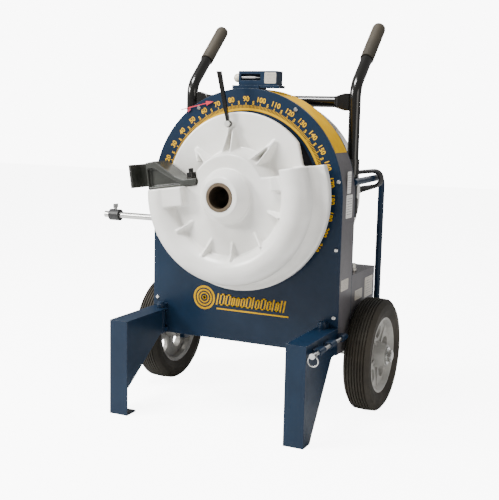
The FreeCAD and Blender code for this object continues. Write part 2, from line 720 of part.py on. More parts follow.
def leg(name, side):
    thick, gap = s.leg_thick, s.side_gap
    front, top = -s.leg_reach, floor + s.leg_height
    pin = (hinge_x * side, -s.hinge_y)
    flange = box(sides(side, leg_inner, leg_outer), (front, front + thick), (floor, top))
    outer_profile = [(front, floor), (front + 44, floor), (front + 59, floor + 22), (-40, floor + 192),
                     (-gap, floor + 192), (-gap, top), (front, top)]
    outer_plate = slab("YZ", outer_profile, *sides(side, leg_outer - thick, leg_outer))
    inner_profile = [(front, floor + 78), (front + 8, floor + 78), (-52, floor + 192), (-40, floor + 192),
                     (-40, top), (front, top)]
    inner_plate = slab("YZ", inner_profile, *sides(side, leg_inner, leg_inner + thick))
    top_plate = box(sides(side, leg_inner, leg_outer), (front, -gap), (top - thick, top))
    foot = box(sides(side, leg_inner, leg_outer), (front, front + 44), (floor, floor + 5))
    barrel = rod("z", s.hinge_pin_radius + 4, pin, floor + s.hinge_low, top)
    web = box(sides(side, hinge_x, leg_outer - 1), (-s.hinge_y - 4, 4 - s.hinge_y), (floor + s.hinge_low, top))
    swing = s.hinge_y - 2
    corner = cut(box(sides(side, leg_inner - 5, hinge_x), (-s.hinge_y, 5), (floor, top + 5)),
                 rod("z", swing, pin, floor - 1, top + 6))
    bore = rod("z", s.hinge_pin_radius + s.running_gap, pin, floor, top + 5)
    welded = fuse(flange, outer_plate, inner_plate, top_plate, foot, barrel, web)
    keep("leg_" + name, cut(welded, corner, bore))


def hinges():
    """Welded lugs above and below each leg's barrel, and the pins through them."""
    top, low, gap = floor + s.leg_height, floor + s.hinge_low, s.side_gap
    lugs, pins = [], []
    for name, side in SIDES:
        pin = (hinge_x * side, -s.hinge_y)
        for z in ((top + gap, top + 12), (low - 14, low - gap)):
            lug = fuse(box(sides(side, hinge_x - 12, hinge_x + 12), (-s.hinge_y, 0), z), rod("z", 12, pin, *z))
            lugs.append(cut(lug, rod("z", s.hinge_pin_radius, pin, floor, 0)))
        pins += [rod("z", s.hinge_pin_radius, pin, low - 18, top + 16),
                 cone("z", s.hinge_pin_radius + 3, s.hinge_pin_radius + 1, pin, top + 12, top + 18)]
    keep("hinge_lugs", group(*lugs))
    keep("hinge_pins", group(*pins))


def latch():
    """Spring bolt on the right leg, its guides, its keeper on the housing and its pull ring."""
    axis = (latch_x, floor + s.latch_height)
    half = s.latch_barrel - 1

    def guide(barrel, block, foot):
        base = box((foot, latch_x), block, (axis[1] - half, axis[1] + half))
        return cut(fuse(base, rod("y", s.latch_barrel, axis, *barrel)),
                   rod("y", s.latch_radius + s.running_gap, axis, -300, 100))

    keep("latch_guides", group(*[guide(run, run, leg_outer) for run in ((-184, -146), (-105, -70))]))
    keep("latch_keeper", guide((-20, 15), (0, 15), s.half_width))
    head_y = -s.leg_reach + 6
    eye = rod("x", s.ring_wire + 2.8, (head_y, axis[1]), latch_x - 20, latch_x + 20)
    bolt = fuse(rod("y", s.latch_radius, axis, head_y, -22), rod("y", 7.5, axis, head_y - 8, head_y + 8),
                rod("y", 7.5, axis, -145, -139))
    keep("latch_bolt", cut(bolt, eye))
    keep("pull_ring", ring("y", s.ring_radius, s.ring_wire, (axis[0], head_y, axis[1] - s.ring_radius)))


# ---- wheels on one axle ----

def wheel(name, side):
    low, high = tyre_inner, tyre_inner + s.tyre_width
    radius, rim = s.wheel_radius, s.rim_radius
    middle = (low + high) / 2
    grooves = []
    for step in range(-24, 25, 8):
        crest = radius - abs(step) * 0.06
        grooves += [(crest, middle + step - 2), (crest - 4, middle + step - 1), (crest - 4, middle + step + 1),
                    (crest, middle + step + 2)]
    section = [(rim, low + 8), (rim + 22, low), (radius - 14, low + 1), (radius - 4, low + 8)]
    section += grooves
    section += [(radius - 4, high - 8), (radius - 14, high - 1), (rim + 22, high), (rim, high - 8)]
    centre = (dim(0), s.wheel_y, floor + radius)
    flip = Rotation(Z, 180) if side < 0 else Rotation()

    def put(obj, label):
        keep(label + "_" + name, obj)
        obj.Placement = Placement(Vector(0, centre[1].value, centre[2].value), flip)

    put(lathe("x", section), "tyre")
    web_low, web_high = middle + 4, middle + 12
    hub_low, hub_high = low + 6, high + 4
    profile = [(s.hub_bore, hub_low), (30, hub_low), (32, web_low), (rim - 9, web_low - 6), (rim - 9, low + 14),
               (rim - 2, low + 8), (rim, low + 8), (rim, high - 8), (rim - 6, high - 8), (rim - 11, high - 16),
               (rim - 14, web_high + 4), (38, web_high), (30, hub_high), (s.hub_bore, hub_high)]
    windows = []
    for step in range(5):
        angle = math.radians(72 * step + 90)
        windows.append(rod("x", 20, (66 * math.cos(angle), 66 * math.sin(angle)), web_low - 15, web_high + 20))
    rib = box((web_low - 3, web_high + 5), (-4, 4), (34, rim - 12))
    spokes = []
    for step in range(5):
        spoke = doc.addObject("Part::Compound", "spoke")
        spoke.Links = [rib]
        spoke.Placement = Placement(Vector(), Rotation(X, 72 * step + 36))
        spokes.append(spoke)
    put(cut(fuse(lathe("x", profile), *spokes), *windows), "rim")
    bush = s.axle_radius + s.running_gap
    put(group(tube("x", s.hub_bore, bush, (0, 0), hub_low, hub_low + 20),
              tube("x", s.hub_bore, bush, (0, 0), hub_high - 20, hub_high)), "wheel_bushes")


def axle():
    """Axle with a spacer inside each wheel, a washer and a cap nut outside it, and two welded brackets."""
    at = (s.wheel_y, floor + s.wheel_radius)
    reach = tyre_inner + s.tyre_width + 4
    bracket_low, bracket_high = s.half_width - 23, s.half_width - 7
    rings, brackets = [], []
    for name, side in SIDES:
        rings += [rod("x", 20, at, *sides(side, bracket_high, tyre_inner + 6 - s.side_gap)),
                  rod("x", 24, at, *sides(side, reach + s.side_gap, reach + 4)),
                  rod("x", 17, at, *sides(side, reach + 4, reach + 14))]
        block = box(sides(side, bracket_low, bracket_high), (s.wheel_y - 32, s.wheel_y + 32),
                    (at[1] - 24, bottom))
        brackets.append(cut(block, rod("x", s.axle_radius, at, *sides(side, 0, reach))))
    keep("axle", fuse(rod("x", s.axle_radius, at, -reach - 16, reach + 16), *rings))
    keep("axle_brackets", group(*brackets))


# ---- motor case and control box behind the housing ----

gland_at = (box_inner + 31.5, 262)
knob_at = (s.half_width - 23, 172)


def rear_end():
    skin, top, low = s.sheet_thick, -s.case_top, bottom
    left, right, rear = -s.half_width, box_inner - 0.5, s.case_rear
    keep("motor_case", cut(box((left, right), (depth + 0.05, rear - skin), (low, top)),
                           box((left + skin, right - skin), (depth - 1, rear), (low + skin, top - skin))))
    edge = (top - low) * 34 / 131
    slots = [box((-190 + 22 * step, -180 + 22 * step), (rear - skin - 1, rear + 1), (low + edge, top - edge))
             for step in range(12)]
    keep("rear_cover", cut(box((left, right), (rear - skin, rear), (low, top)), *slots))
    gearbox = cut(box((-62, 62), (depth + 6, depth + 95), (low + skin, top - skin - 2)),
                  rod("y", s.pinion_shaft_radius + s.running_gap, (0, pinion_z()), depth, depth + 41))
    motor_at = (dim(165), (top + low) / 2)
    body = rod("x", 54, motor_at, -255, -62)
    fins = [rod("x", 58, motor_at, -235 + 14 * step, -230 + 14 * step) for step in range(11)]
    keep("gear_motor", fuse(gearbox, body, *fins))
    left, lid = box_inner, -s.box_top
    seam = 205
    case = cut(box((left, s.half_width), (depth + 0.05, seam), (low, lid)),
               box((left + skin, s.half_width - skin), (depth - 1, seam + 1), (low + skin, lid - skin)),
               rod("z", 6.2, knob_at, lid - 10, lid + 1))
    keep("control_box", case)
    hollow = box((left + skin, s.half_width - skin), (seam, rear - skin), (low + skin, lid - skin))
    keep("control_cover", cut(box((left, s.half_width), (seam + 0.6, rear), (low, lid)), hollow,
                              rod("z", 13, gland_at, lid - 10, lid + 1)))
    keep("selector_knob", fuse(rod("z", 6, knob_at, lid - 12, lid + 2), rod("z", 8.5, knob_at, lid + 8, lid + 22),
                               rod("z", 11, knob_at, lid + 0.3, lid + 8)))
    keep("cord_gland", cut(fuse(rod("z", 13, gland_at, lid - 8, lid), rod("z", 17, gland_at, lid, lid + 8),
                                cone("z", 14, 8.5, gland_at, lid + 8, lid + 30)),
                           rod("z", s.cord_radius, gland_at, lid - 9, lid + 31)))


# ---- rear shoe on the same shaft ----

def rear_shoe():
    front, rear = rear_shoe_front, rear_shoe_front + s.rear_shoe_width
    small, big = s.rear_shoe_small, s.rear_shoe_radius
    profile = [(s.shaft_radius, front), (small - 4, front), (small, front + 4), (small, front + 14),
               (small - 12, front + 20), (small - 16, front + 32), (small - 10, front + 44),
               (small + 2, front + 50), (small + 2, front + 58), (small + 26, front + 66), (big, front + 74),
               (big, rear - 3), (big - 3, rear), (big - 26, rear), (big - 34, rear - 40), (92, rear - 40),
               (66, rear + 10), (58, rear + 32), (s.shaft_radius, rear + 32)]
    keep("rear_shoe", cut(lathe("y", profile), key_blocks()[2]))


# ---- push handles and rack tubes ----

def tight(radius):
    return lambda before, after, half: radius


def handles():
    radius = s.handle_radius
    tubes, grips, brackets, ends, sockets = [], [], [], [], []
    for name, side in SIDES:
        x = (handle_x * side).value
        corner = Vector(x, s.handle_y.value, s.handle_bend.value)
        end = Vector(x, s.handle_back.value, s.handle_top.value)
        route = [Vector(x, s.handle_y.value, -60), corner, end]
        bore = pipe(route, radius.value - 2.5, tight(70))
        tubes.append(feature(pipe(route, radius.value, tight(70)).cut(bore)))
        grip = cut(lathe("z", [(0, -s.grip_length), (s.grip_radius, -s.grip_length), (s.grip_radius, -5),
                               (s.grip_radius - 2, 2), (s.grip_radius - 6, 6), (0, 7)]),
                   rod("z", radius, (0, 0), -s.grip_length - 1, 0))
        grip.Placement = Placement(end, Rotation(Z, (end - corner).normalize()))
        grips.append(grip)
        at = (handle_x * side, s.handle_y)
        for height in ((-50, -8), (58, 100)):
            foot = box(sides(side, handle_x - 7, handle_x + 7), (depth, s.handle_y - radius + 1), height)
            brackets.append(cut(fuse(foot, rod("z", radius + 3, at, *height)), rod("z", radius, at, -70, 200)))
        half, mid, inner = s.crossbar_radius - 1, s.crossbar_z, handle_x - radius
        corners = [(inner - 45, mid - half), (inner - 14, mid - 24), (inner + 4, mid - 24),
                   (inner + 4, mid + 24), (inner - 14, mid + 24), (inner - 45, mid + half)]
        flat = [(across * side, up) for across, up in corners]
        ends.append(slab("XZ", flat, s.handle_y - 5.5, s.handle_y + 5.5))
        sockets.append(rod("z", radius, at, 150, 330))
    reach = handle_x - radius - 36
    keep("handle_tubes", group(*tubes))
    keep("grips", group(*grips))
    keep("handle_brackets", group(*brackets))
    bar = fuse(rod("x", s.crossbar_radius, (s.handle_y, s.crossbar_z), -reach, reach), *ends)
    keep("crossbar", cut(bar, *sockets))


def rack():
    back, high, low = s.rack_back.value, s.rack_z.value, -345
    tubes = []
    for name, side in SIDES:
        x = (rack_x * side).value
        route = [Vector(x, depth.value, high), Vector(x, back, high + 4), Vector(x, back, low),
                 Vector(x, s.case_rear.value, low)]
        tubes.append(feature(pipe(route, s.rack_radius.value, tight(28))))
    keep("rack_tubes", group(*tubes))


# ---- stop rod at the left ----

def stop_rod():
    at = (s.rod_y, -s.rod_z)
    half = s.collar_width / 2
    keep("stop_rod", fuse(rod("x", s.rod_radius, at, -s.rod_end, 55 - s.half_width),
                          rod("x", s.rod_radius + 5.75, at, -s.half_width - 4, 60 - s.half_width)))
    collar_at = (-s.collar_x, s.rod_y)
    keep("stop_collar", cut(rod("x", s.collar_radius, at, -s.collar_x - half, -s.collar_x + half),
                            rod("x", s.rod_radius + s.running_gap, at, -600, 0),
                            rod("z", 3 + s.running_gap, collar_at, -s.rod_z, 0)))
    seat = -s.rod_z + s.rod_radius + 0.4
    wing = [box((-s.collar_x - 1.6, -s.collar_x + 1.6), (s.rod_y - 11, s.rod_y + 11),
                (-s.rod_z + s.collar_radius + 4, -s.rod_z + s.collar_radius + 16)),
            rod("z", 5, collar_at, -s.rod_z + s.collar_radius + 0.5, -s.rod_z + s.collar_radius + 6)]
    keep("thumb_screw", fuse(rod("z", 3, collar_at, seat, -s.rod_z + s.collar_radius + 4), *wing))


# ---- supply cord: out of the gland, up to the rack, wound round both rack tubes ----

LEAD_ROUTE = [Vector(200, 262, -206), Vector(200, 262, -166), Vector(197, 268, -115), Vector(190, 274, -65),
              Vector(186, 276, -24), Vector(187, 276, 8)]
TAIL_ROUTE = [Vector(120, 276, 4), Vector(120, 278, -24), Vector(123, 284, -52), Vector(124, 286, -76)]


def easy(before, after, half):
    """Arc of a free cord: as large as its two runs allow."""
    return 0.45 * min(before, after) * math.tan(half)


def free_cord(name, route):
    radius = s.cord_radius.value
    bends = [easy((b - a).Length, (c - b).Length, (a - b).getAngle(c - b) / 2)
             for a, b, c in zip(route, route[1:], route[2:])]
    cord_run = pipe(route, radius, easy)
    length = bent_wire(route, easy).Length
    ratio = cord_run.Volume / (math.pi * radius ** 2 * length)
    print(name, f"{length:.0f} mm, volume ratio {ratio:.4f}, bend radii", [round(bend) for bend in bends])
    keep(name, feature(cord_run))


def cord():
    free_cord("cord_lead", LEAD_ROUTE)
    free_cord("cord_tail", TAIL_ROUTE)
    profile = [(0, -62), (17, -62), (19, -58), (19, -34), (16, -30), (16, -12), (9, 0), (0, 0)]
    keep("cord_plug", lathe_at("z", profile, (124, 286, -76)))
    blades = [box((x, x + 1.6), (280, 292), (-158, -138)) for x in (117, 129.4)]
    keep("plug_blades", group(*blades, rod("z", 2.4, (124, 278), -160, -138)))
    thick, width = 14, 37
    side, around = rack_x + s.rack_radius + 3.2, s.rack_radius + 3.2
    keep("cord_hank", cut(hank_loop(side.value + thick, around.value + thick, 258, width),
                          hank_loop(side.value, around.value, 257, width + 2)))


def hank_loop(side, around, front, width):
    """Filled outline of the loop laid round both rack tubes, its long strands sagging."""
    middle, sag = s.rack_z.value + 2, 30
    ends = side - around
    up, down = middle + around, middle - around
    turns = [(Vector(-ends, front, up), Vector(0, front, up - sag), Vector(ends, front, up)),
             (Vector(ends, front, up), Vector(side, front, middle), Vector(ends, front, down)),
             (Vector(ends, front, down), Vector(0, front, down - sag), Vector(-ends, front, down)),
             (Vector(-ends, front, down), Vector(-side, front, middle), Vector(-ends, front, up))]
    outline_wire = Part.Wire([Part.Arc(*turn).toShape() for turn in turns])
    return feature(Part.Face(outline_wire).extrude(Vector(0, width, 0)))


housing()
dial()
drive()
front_shoe()
hook()
pointer()
target_marker()
level()
for name, side in SIDES:
    leg(name, side)
    wheel(name, side)
hinges()
latch()
axle()
rear_end()
rear_shoe()
handles()
rack()
stop_rod()
cord()
doc.recompute()

faults = [item.Label for item in doc.Objects if {"Invalid", "Error"} & set(item.State)]
faults += [name for name, obj in nodes.items() if obj.Shape.isNull() or not obj.Shape.isValid()]
if faults:
    raise SystemExit("faulty: " + ", ".join(faults))
os.makedirs("parts", exist_ok=True)
for name, obj in nodes.items():
    obj.Shape.exportStep(f"parts/{name}.step")
print(len(nodes), "nodes written")
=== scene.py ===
import math
import random

import bmesh
import bpy
from mathutils import Matrix, Vector


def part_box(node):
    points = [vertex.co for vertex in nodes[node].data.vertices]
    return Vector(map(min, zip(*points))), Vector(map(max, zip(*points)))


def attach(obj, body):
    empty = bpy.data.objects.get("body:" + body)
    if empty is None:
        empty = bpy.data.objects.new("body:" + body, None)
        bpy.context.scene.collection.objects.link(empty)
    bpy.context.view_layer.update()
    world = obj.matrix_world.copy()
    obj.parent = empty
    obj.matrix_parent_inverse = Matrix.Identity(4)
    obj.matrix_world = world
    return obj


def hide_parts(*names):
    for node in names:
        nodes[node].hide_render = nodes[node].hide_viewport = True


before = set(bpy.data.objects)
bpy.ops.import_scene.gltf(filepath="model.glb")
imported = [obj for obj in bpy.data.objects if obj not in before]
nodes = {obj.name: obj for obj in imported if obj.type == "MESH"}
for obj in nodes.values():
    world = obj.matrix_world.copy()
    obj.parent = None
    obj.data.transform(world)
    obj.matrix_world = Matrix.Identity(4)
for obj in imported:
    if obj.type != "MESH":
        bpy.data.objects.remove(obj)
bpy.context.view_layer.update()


# ---- the studio ----
# The bender stands on a pale floor under large soft lamps. The camera looks from the
# operator's right, a little above the shaft, as one would stand to read the dial.

camera_data = bpy.data.cameras.new("camera")
camera_data.lens = 65.0
eye = (1.0734, -2.2196, 0.210)
camera = bpy.data.objects.new("camera", camera_data)
bpy.context.scene.collection.objects.link(camera)
turn, tilt, lean = math.radians(25.38), math.radians(8.42), math.radians(1.34)
camera.matrix_world = (Matrix.Translation(eye) @ Matrix.Rotation(turn, 4, "Z")
                       @ Matrix.Rotation(math.pi / 2 - tilt, 4, "X") @ Matrix.Rotation(lean, 4, "Z"))
bpy.context.scene.camera = camera

floor_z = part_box("leg_left")[0].z


def lamp(name, place, target, size, power, colour=(1, 1, 1)):
    """Square softbox that faces a target."""
    data = bpy.data.lights.new(name, "AREA")
    data.size, data.energy, data.color = size, power, colour
    made = bpy.data.objects.new(name, data)
    aim = (Vector(target) - Vector(place)).to_track_quat("-Z", "Y")
    made.matrix_world = Matrix.Translation(place) @ aim.to_matrix().to_4x4()
    bpy.context.scene.collection.objects.link(made)


lamp("overhead", (-0.8, -1.1, 2.9), (0, 0, 0), 1.1, 190)
lamp("front_left", (-2.6, -2.0, 1.5), (0, 0, -0.1), 0.9, 165, (1.0, 0.99, 0.96))
lamp("right", (3.0, -0.9, 0.6), (0, 0, -0.1), 1.6, 22, (1.0, 0.96, 0.90))
lamp("behind", (0.4, 3.2, 2.2), (0, 0, 0), 2.4, 30)


def seen_brighter(tree, lit, seen):
    """Strength of the white paper: bright where the camera sees it, dimmer as a source of light."""
    path = tree.nodes.new("ShaderNodeLightPath").outputs["Is Camera Ray"]
    strength = tree.nodes.new("ShaderNodeMapRange")
    strength.inputs["To Min"].default_value, strength.inputs["To Max"].default_value = lit, seen
    tree.links.new(path, strength.inputs["Value"])
    return strength.outputs["Result"]


world = bpy.data.worlds.new("studio")
world.use_nodes = True
backdrop = world.node_tree.nodes["Background"]
backdrop.inputs["Color"].default_value = (1, 1, 1, 1)
world.node_tree.links.new(seen_brighter(world.node_tree, 0.36, 9.0), backdrop.inputs["Strength"])
bpy.context.scene.world = world


def link_mesh(name, build, body=None):
    """Object at the origin from a finished bmesh; rides on a body when one is named."""
    mesh = bpy.data.meshes.new(name)
    build.to_mesh(mesh)
    build.free()
    made = bpy.data.objects.new(name, mesh)
    bpy.context.scene.collection.objects.link(made)
    if body:
        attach(made, body)
    return made


build = bmesh.new()
floor_half = 9
bmesh.ops.create_grid(build, x_segments=1, y_segments=1, size=floor_half)
bmesh.ops.translate(build, verts=build.verts, vec=(0, 0, floor_z))
floor = link_mesh("floor", build)


# ---- shared ways of making a finish ----
# Each finish is a painted, plated or moulded surface. Its wear and grain come from a few
# node groups that are placed in every material with that material's own values.

def add(tree, kind, inputs=None, **settings):
    """Adds a shader node; inputs maps a socket's name or number to a value or another socket."""
    made = tree.nodes.new("ShaderNode" + kind)
    for name, value in settings.items():
        setattr(made, name, value)
    for name, value in (inputs or {}).items():
        socket = made.inputs[name]
        if isinstance(value, bpy.types.NodeSocket):
            tree.links.new(value, socket)
        else:
            socket.default_value = value
    return made


def new_group(name, inputs, outputs):
    """Empty node group; each socket is (name, kind, default)."""
    tree = bpy.data.node_groups.new(name, "ShaderNodeTree")
    for label, kind, default in inputs:
        socket = tree.interface.new_socket(label, in_out="INPUT", socket_type="NodeSocket" + kind)
        socket.default_value = default
    for label, kind in outputs:
        tree.interface.new_socket(label, in_out="OUTPUT", socket_type="NodeSocket" + kind)
    return tree, tree.nodes.new("NodeGroupInput").outputs, tree.nodes.new("NodeGroupOutput").inputs


def ramp(tree, value, low, high):
    """Rises smoothly from 0 at low to 1 at high."""
    return add(tree, "MapRange", {"Value": value, "From Min": low, "From Max": high},
               interpolation_type="SMOOTHSTEP").outputs["Result"]


def times(tree, a, b, operation="MULTIPLY"):
    return add(tree, "Math", {0: a, 1: b}, operation=operation).outputs[0]


def edge_wear_group():
    """Rubbed corners: where a rounded normal leaves the flat one, broken up by noise."""
    tree, given, out = new_group("edge_wear", [("Radius", "Float", 0.002), ("Amount", "Float", 0.5),
                                               ("Grain", "Float", 60.0)], [("Mask", "Float")])
    rounded = add(tree, "Bevel", {"Radius": given["Radius"]}, samples=4).outputs[0]
    flat = add(tree, "NewGeometry").outputs["Normal"]
    match = add(tree, "VectorMath", {0: rounded, 1: flat}, operation="DOT_PRODUCT").outputs["Value"]
    edge = ramp(tree, times(tree, 1.0, match, "SUBTRACT"), 0.02, 0.25)
    place = add(tree, "TexCoord").outputs["Object"]
    noise = add(tree, "TexNoise", {"Vector": place, "Scale": given["Grain"], "Detail": 5.0,
                                   "Roughness": 0.7})
    broken = ramp(tree, noise.outputs["Fac"], 0.42, 0.62)
    tree.links.new(times(tree, times(tree, edge, broken), given["Amount"]), out["Mask"])
    return tree


def dust_group():
    """Dust in corners, found by ambient occlusion and broken up by noise; where its colour is darker than
    the finish it is painted corner shade.
    """
    tree, given, out = new_group("dust_and_shade", [("Reach", "Float", 0.03), ("Amount", "Float", 0.4),
                                          ("Grain", "Float", 14.0)], [("Mask", "Float")])
    shade = add(tree, "AmbientOcclusion", {"Distance": given["Reach"]}, samples=4).outputs["AO"]
    corner = ramp(tree, times(tree, 1.0, shade, "SUBTRACT"), 0.25, 0.8)
    place = add(tree, "TexCoord").outputs["Object"]
    noise = add(tree, "TexNoise", {"Vector": place, "Scale": given["Grain"], "Detail": 6.0,
                                   "Roughness": 0.65})
    patch = ramp(tree, noise.outputs["Fac"], 0.38, 0.7)
    both = times(tree, times(tree, corner, patch), given["Amount"])
    tree.links.new(both, out["Mask"])
    return tree


def relief_group():
    """Height of a skin: a broad wave and a fine grain, each with its own share."""
    tree, given, out = new_group("relief", [("Broad", "Float", 30.0), ("Fine", "Float", 400.0),
                                            ("Fine share", "Float", 0.4)], [("Height", "Float")])
    place = add(tree, "TexCoord").outputs["Object"]
    broad = add(tree, "TexNoise", {"Vector": place, "Scale": given["Broad"], "Detail": 3.0}).outputs["Fac"]
    fine = add(tree, "TexNoise", {"Vector": place, "Scale": given["Fine"], "Detail": 4.0}).outputs["Fac"]
    tree.links.new(add(tree, "Mix", {0: given["Fine share"], 2: broad, 3: fine}).outputs[0], out["Height"])
    return tree


def tone_group():
    """Slow change of tone over a surface, from 0 to 1."""
    tree, given, out = new_group("tone", [("Size", "Float", 6.0), ("Streak", "Float", 1.0)],
                                 [("Value", "Float")])
    place = add(tree, "TexCoord").outputs["Object"]
    stretched = add(tree, "CombineXYZ", {"X": 1.0, "Y": 1.0, "Z": given["Streak"]}).outputs[0]
    scaled = add(tree, "VectorMath", {0: place, 1: stretched}, operation="MULTIPLY").outputs[0]
    noise = add(tree, "TexNoise", {"Vector": scaled, "Scale": given["Size"], "Detail": 5.0,
                                   "Roughness": 0.6})
    tree.links.new(ramp(tree, noise.outputs["Fac"], 0.3, 0.7), out["Value"])
    return tree


groups = {"wear": edge_wear_group(), "dust_and_shade": dust_group(), "relief": relief_group(), "tone": tone_group()}


def place_group(tree, name, values):
    made = add(tree, "Group", node_tree=groups[name])
    for label, value in values.items():
        made.inputs[label].default_value = value
    return made.outputs[0]


def finish(name, colour, dark, rough, metal=0.0, coat=0.0, coat_rough=0.1, wear=None,
           wear_colour=(0.3, 0.3, 0.3), dust_and_shade=None, dust_and_shade_colour=(0.2, 0.18, 0.15), relief=(30.0, 400.0, 0.4),
           bump=0.15, depth=0.0004, tone=(6.0, 1.0), specular=0.5, round_edge=0.0):
    """Material from two tones of its colour, a roughness range, and its share of wear, dust with painted
    corner shade, and relief.
    """
    material = bpy.data.materials.new(name)
    material.use_nodes = True
    tree = material.node_tree
    shader = tree.nodes["Principled BSDF"]
    for label, value in (("Metallic", metal), ("Coat Weight", coat), ("Coat Roughness", coat_rough),
                         ("Specular IOR Level", specular)):
        shader.inputs[label].default_value = value
    drift = place_group(tree, "tone", {"Size": tone[0], "Streak": tone[1]})
    shade = add(tree, "Mix", {0: drift, 6: (*dark, 1), 7: (*colour, 1)}, data_type="RGBA").outputs[2]
    drifting = add(tree, "MapRange", {"Value": drift, "To Min": rough[1], "To Max": rough[0]})
    roughness = drifting.outputs["Result"]
    # Ambient occlusion pulls the corners toward the dust colour: lighter dust on dark finishes, painted
    # corner shade on light ones.
    if dust_and_shade:
        mask = place_group(tree, "dust_and_shade", {"Reach": dust_and_shade[0], "Amount": dust_and_shade[1]})
        shade = add(tree, "Mix", {0: mask, 6: shade, 7: (*dust_and_shade_colour, 1)}, data_type="RGBA").outputs[2]
        roughness = times(tree, roughness, times(tree, mask, 0.4), "ADD")
    if wear:
        mask = place_group(tree, "wear", {"Radius": wear[0], "Amount": wear[1], "Grain": wear[2]})
        shade = add(tree, "Mix", {0: mask, 6: shade, 7: (*wear_colour, 1)}, data_type="RGBA").outputs[2]
    tree.links.new(shade, shader.inputs["Base Color"])
    tree.links.new(roughness, shader.inputs["Roughness"])
    height = place_group(tree, "relief", {"Broad": relief[0], "Fine": relief[1], "Fine share": relief[2]})
    bumped = add(tree, "Bump", {"Height": height, "Strength": bump, "Distance": depth})
    if round_edge:
        rounded = add(tree, "Bevel", {"Radius": round_edge}, samples=4)
        tree.links.new(rounded.outputs[0], bumped.inputs["Normal"])
    tree.links.new(bumped.outputs[0], shader.inputs["Normal"])
    return material


def beyond(material, axis, low, high):
    """Mask that rises from 0 to 1 between two places along an axis."""
    tree = material.node_tree
    place = add(tree, "SeparateXYZ", {0: add(tree, "TexCoord").outputs["Object"]}).outputs[axis]
    return ramp(tree, place, low, high)


def lay_over(material, mask, colour):
    """Lays a second colour over the finish where the mask is 1."""
    tree = material.node_tree
    base = tree.nodes["Principled BSDF"].inputs["Base Color"]
    both = add(tree, "Mix", {0: mask, 6: base.links[0].from_socket, 7: (*colour, 1)}, data_type="RGBA")
    tree.links.new(both.outputs[2], base)


def dress(material, *names):
    """Gives CAD nodes their finish."""
    for name in names:
        if not nodes[name].material_slots:
            nodes[name].data.materials.append(material)
        for slot in nodes[name].material_slots:
            slot.material = material


paper = finish("floor_paper", (0.86, 0.86, 0.86), (0.84, 0.84, 0.84), (0.55, 0.6), bump=0.02)
glow = paper.node_tree.nodes["Principled BSDF"].inputs
glow["Emission Color"].default_value = (1, 1, 1, 1)
paper.node_tree.links.new(seen_brighter(paper.node_tree, 0.0, 7.5), glow["Emission Strength"])
floor.data.materials.append(paper)


# ---- supply cord ----
# A 12 mm rubber-jacketed cord leaves the gland on the control box, climbs to the rack and is wound
# twice round both rack tubes. Its tail hangs from the winding and ends in a moulded plug.

cord_radius = 0.006
rack_middle = 0.042
fold = 0.0235
rack_tube_x, rack_edge = 0.280, 0.0225
end_x = rack_tube_x + rack_edge - fold
chance = random.Random(4)


def strand(start, end, count):
    """Sagging run between the two folds; start and end are shares of the half width."""
    points = []
    for step in range(count):
        share = start + (end - start) * step / (count - 1)
        points.append((share * end_x, -0.029 * (1 - share * share)))
    return points


def turn_points():
    """One turn in X and height, anticlockwise from the bottom of the right fold."""
    right = [(end_x + fold * math.sin(angle), -fold * math.cos(angle))
             for angle in (0.5, 1.1, 1.6, 2.1, 2.7)]
    left = [(-x, -z) for x, z in right]
    over = [(x, z + fold) for x, z in strand(0.97, -0.97, 7)]
    under = [(x, z - fold) for x, z in strand(-0.97, 0.97, 7)]
    return right + over + left + under


def winding(turns):
    """Turns laid side by side along Y, with a little unevenness; the last points make way for the tail."""
    path = (turn_points() * turns)[:-3]
    first_y, width, uneven = 0.2642, 0.0248, 0.0008
    spread = width / (len(path) - 1)
    return [(x, first_y + spread * step, rack_middle + z + chance.uniform(-uneven, uneven))
            for step, (x, z) in enumerate(path)]


lead = [(0.200, 0.262, -0.206), (0.200, 0.262, -0.166), (0.197, 0.264, -0.115), (0.194, 0.264, -0.068),
        (0.204, 0.264, -0.024), (0.236, 0.264, 0.004)]
tail = [(0.092, 0.289, -0.018), (0.118, 0.288, -0.034), (0.124, 0.286, -0.056), (0.124, 0.286, -0.076)]
route = lead + winding(2) + tail

curve = bpy.data.curves.new("supply_cord", "CURVE")
curve.dimensions = "3D"
curve.bevel_depth = cord_radius
curve.bevel_resolution = 5
curve.resolution_u = 6
curve.use_fill_caps = True
spline = curve.splines.new("NURBS")
spline.points.add(len(route) - 1)
for point, place in zip(spline.points, route):
    point.co = (*place, 1)
spline.order_u = 3
spline.use_endpoint_u = True
supply_cord = bpy.data.objects.new("supply_cord", curve)
bpy.context.scene.collection.objects.link(supply_cord)
rubber_cord = finish("cord_jacket", (0.018, 0.018, 0.019), (0.010, 0.010, 0.011), (0.36, 0.5),
                     relief=(90, 900, 0.6))
curve.materials.append(rubber_cord)
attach(supply_cord, "frame")
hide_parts("cord_lead", "cord_hank", "cord_tail")
dress(rubber_cord, "cord_plug", "cord_gland")


# ---- blue sheet metal ----
# Housing, legs and motor case are folded and welded steel sheet under navy enamel, which has a slight
# orange peel and is rubbed at its corners. The rim band and control box get a grey enamel: the grey glare of
# the bright studio on their right-facing sides, painted into their colour.

navy = finish("navy_enamel", (0.0052, 0.0185, 0.043), (0.0036, 0.0135, 0.032), (0.30, 0.42), coat=0.06,
              coat_rough=0.2, wear=(0.0018, 0.6, 90), wear_colour=(0.16, 0.18, 0.22), dust_and_shade=(0.04, 0.3),
              dust_and_shade_colour=(0.03, 0.035, 0.04), relief=(60, 420, 0.35), bump=0.12, depth=0.0003,
              round_edge=0.0018, specular=0.2)
dress(navy, "front_plate", "rear_plate", "motor_case", "rear_cover", "leg_left", "leg_right", "hinge_lugs",
      "hinge_pins", "latch_guides", "latch_keeper", "axle_brackets", "rack_tubes", "level_bracket",
      "level_body")

